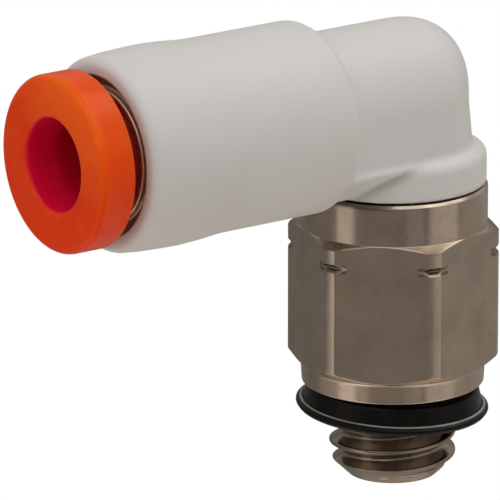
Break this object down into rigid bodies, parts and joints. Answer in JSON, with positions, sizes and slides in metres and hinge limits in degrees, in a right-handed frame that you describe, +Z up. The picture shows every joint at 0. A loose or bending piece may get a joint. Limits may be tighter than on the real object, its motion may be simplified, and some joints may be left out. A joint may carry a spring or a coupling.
{
  "type": "push-in elbow fitting",
  "caption": "Right-angle push-in tube fitting: a resin elbow swivels on a plated screw stud with a hexagon and gasket, and a push button frees the tube.",
  "frame": {"origin": "centre of the gasket's seat plane, on the thread's axis", "axes": "+Z up the stud, from the port it screws into towards the elbow; the tube port looks along -X; Y completes a right-handed frame"},
  "size_m": [0.0195, 0.0078, 0.0184],
  "materials": {
    "white_resin": "moulded, slightly glossy, warm white",
    "plated_brass": "turned, nickel plated, satin",
    "gasket_rubber": "matt black nitrile",
    "washer_steel": "plain stainless strip",
    "seal_rubber": "greased black nitrile",
    "guide_metal": "pressed, nickel plated",
    "orange_resin": "moulded acetal, slightly translucent, orange",
    "collet_resin": "natural acetal",
    "spring_steel": "spring-hard stainless strip"
  },
  "bodies": {
    "screw_stud": {"stud": "plated_brass", "gasket_rubber": "gasket_rubber", "gasket_washer": "washer_steel"},
    "elbow": {"elbow_body": "white_resin", "swivel_o_ring": "seal_rubber", "guide_ring": "guide_metal", "tube_seal": "seal_rubber"},
    "button": {"release_button": "orange_resin"},
    "grip": {"chuck": "spring_steel", "collet": "collet_resin"}
  },
  "joints": [
    {"name": "swivel", "type": "hinge", "parent": "screw_stud", "child": "elbow", "pos_m": [0, 0, 0.00487], "axis": [0, 0, 1], "continuous": true},
    {"name": "release", "type": "slide", "parent": "elbow", "child": "button", "axis": [1, 0, 0], "range_m": [0, 0.0006], "stiffness_N_per_m": 2000, "springref_m": -0.0008},
    {"name": "grip_float", "type": "slide", "parent": "elbow", "child": "grip", "axis": [-1, 0, 0], "range_m": [0, 0.0002]}
  ]
}
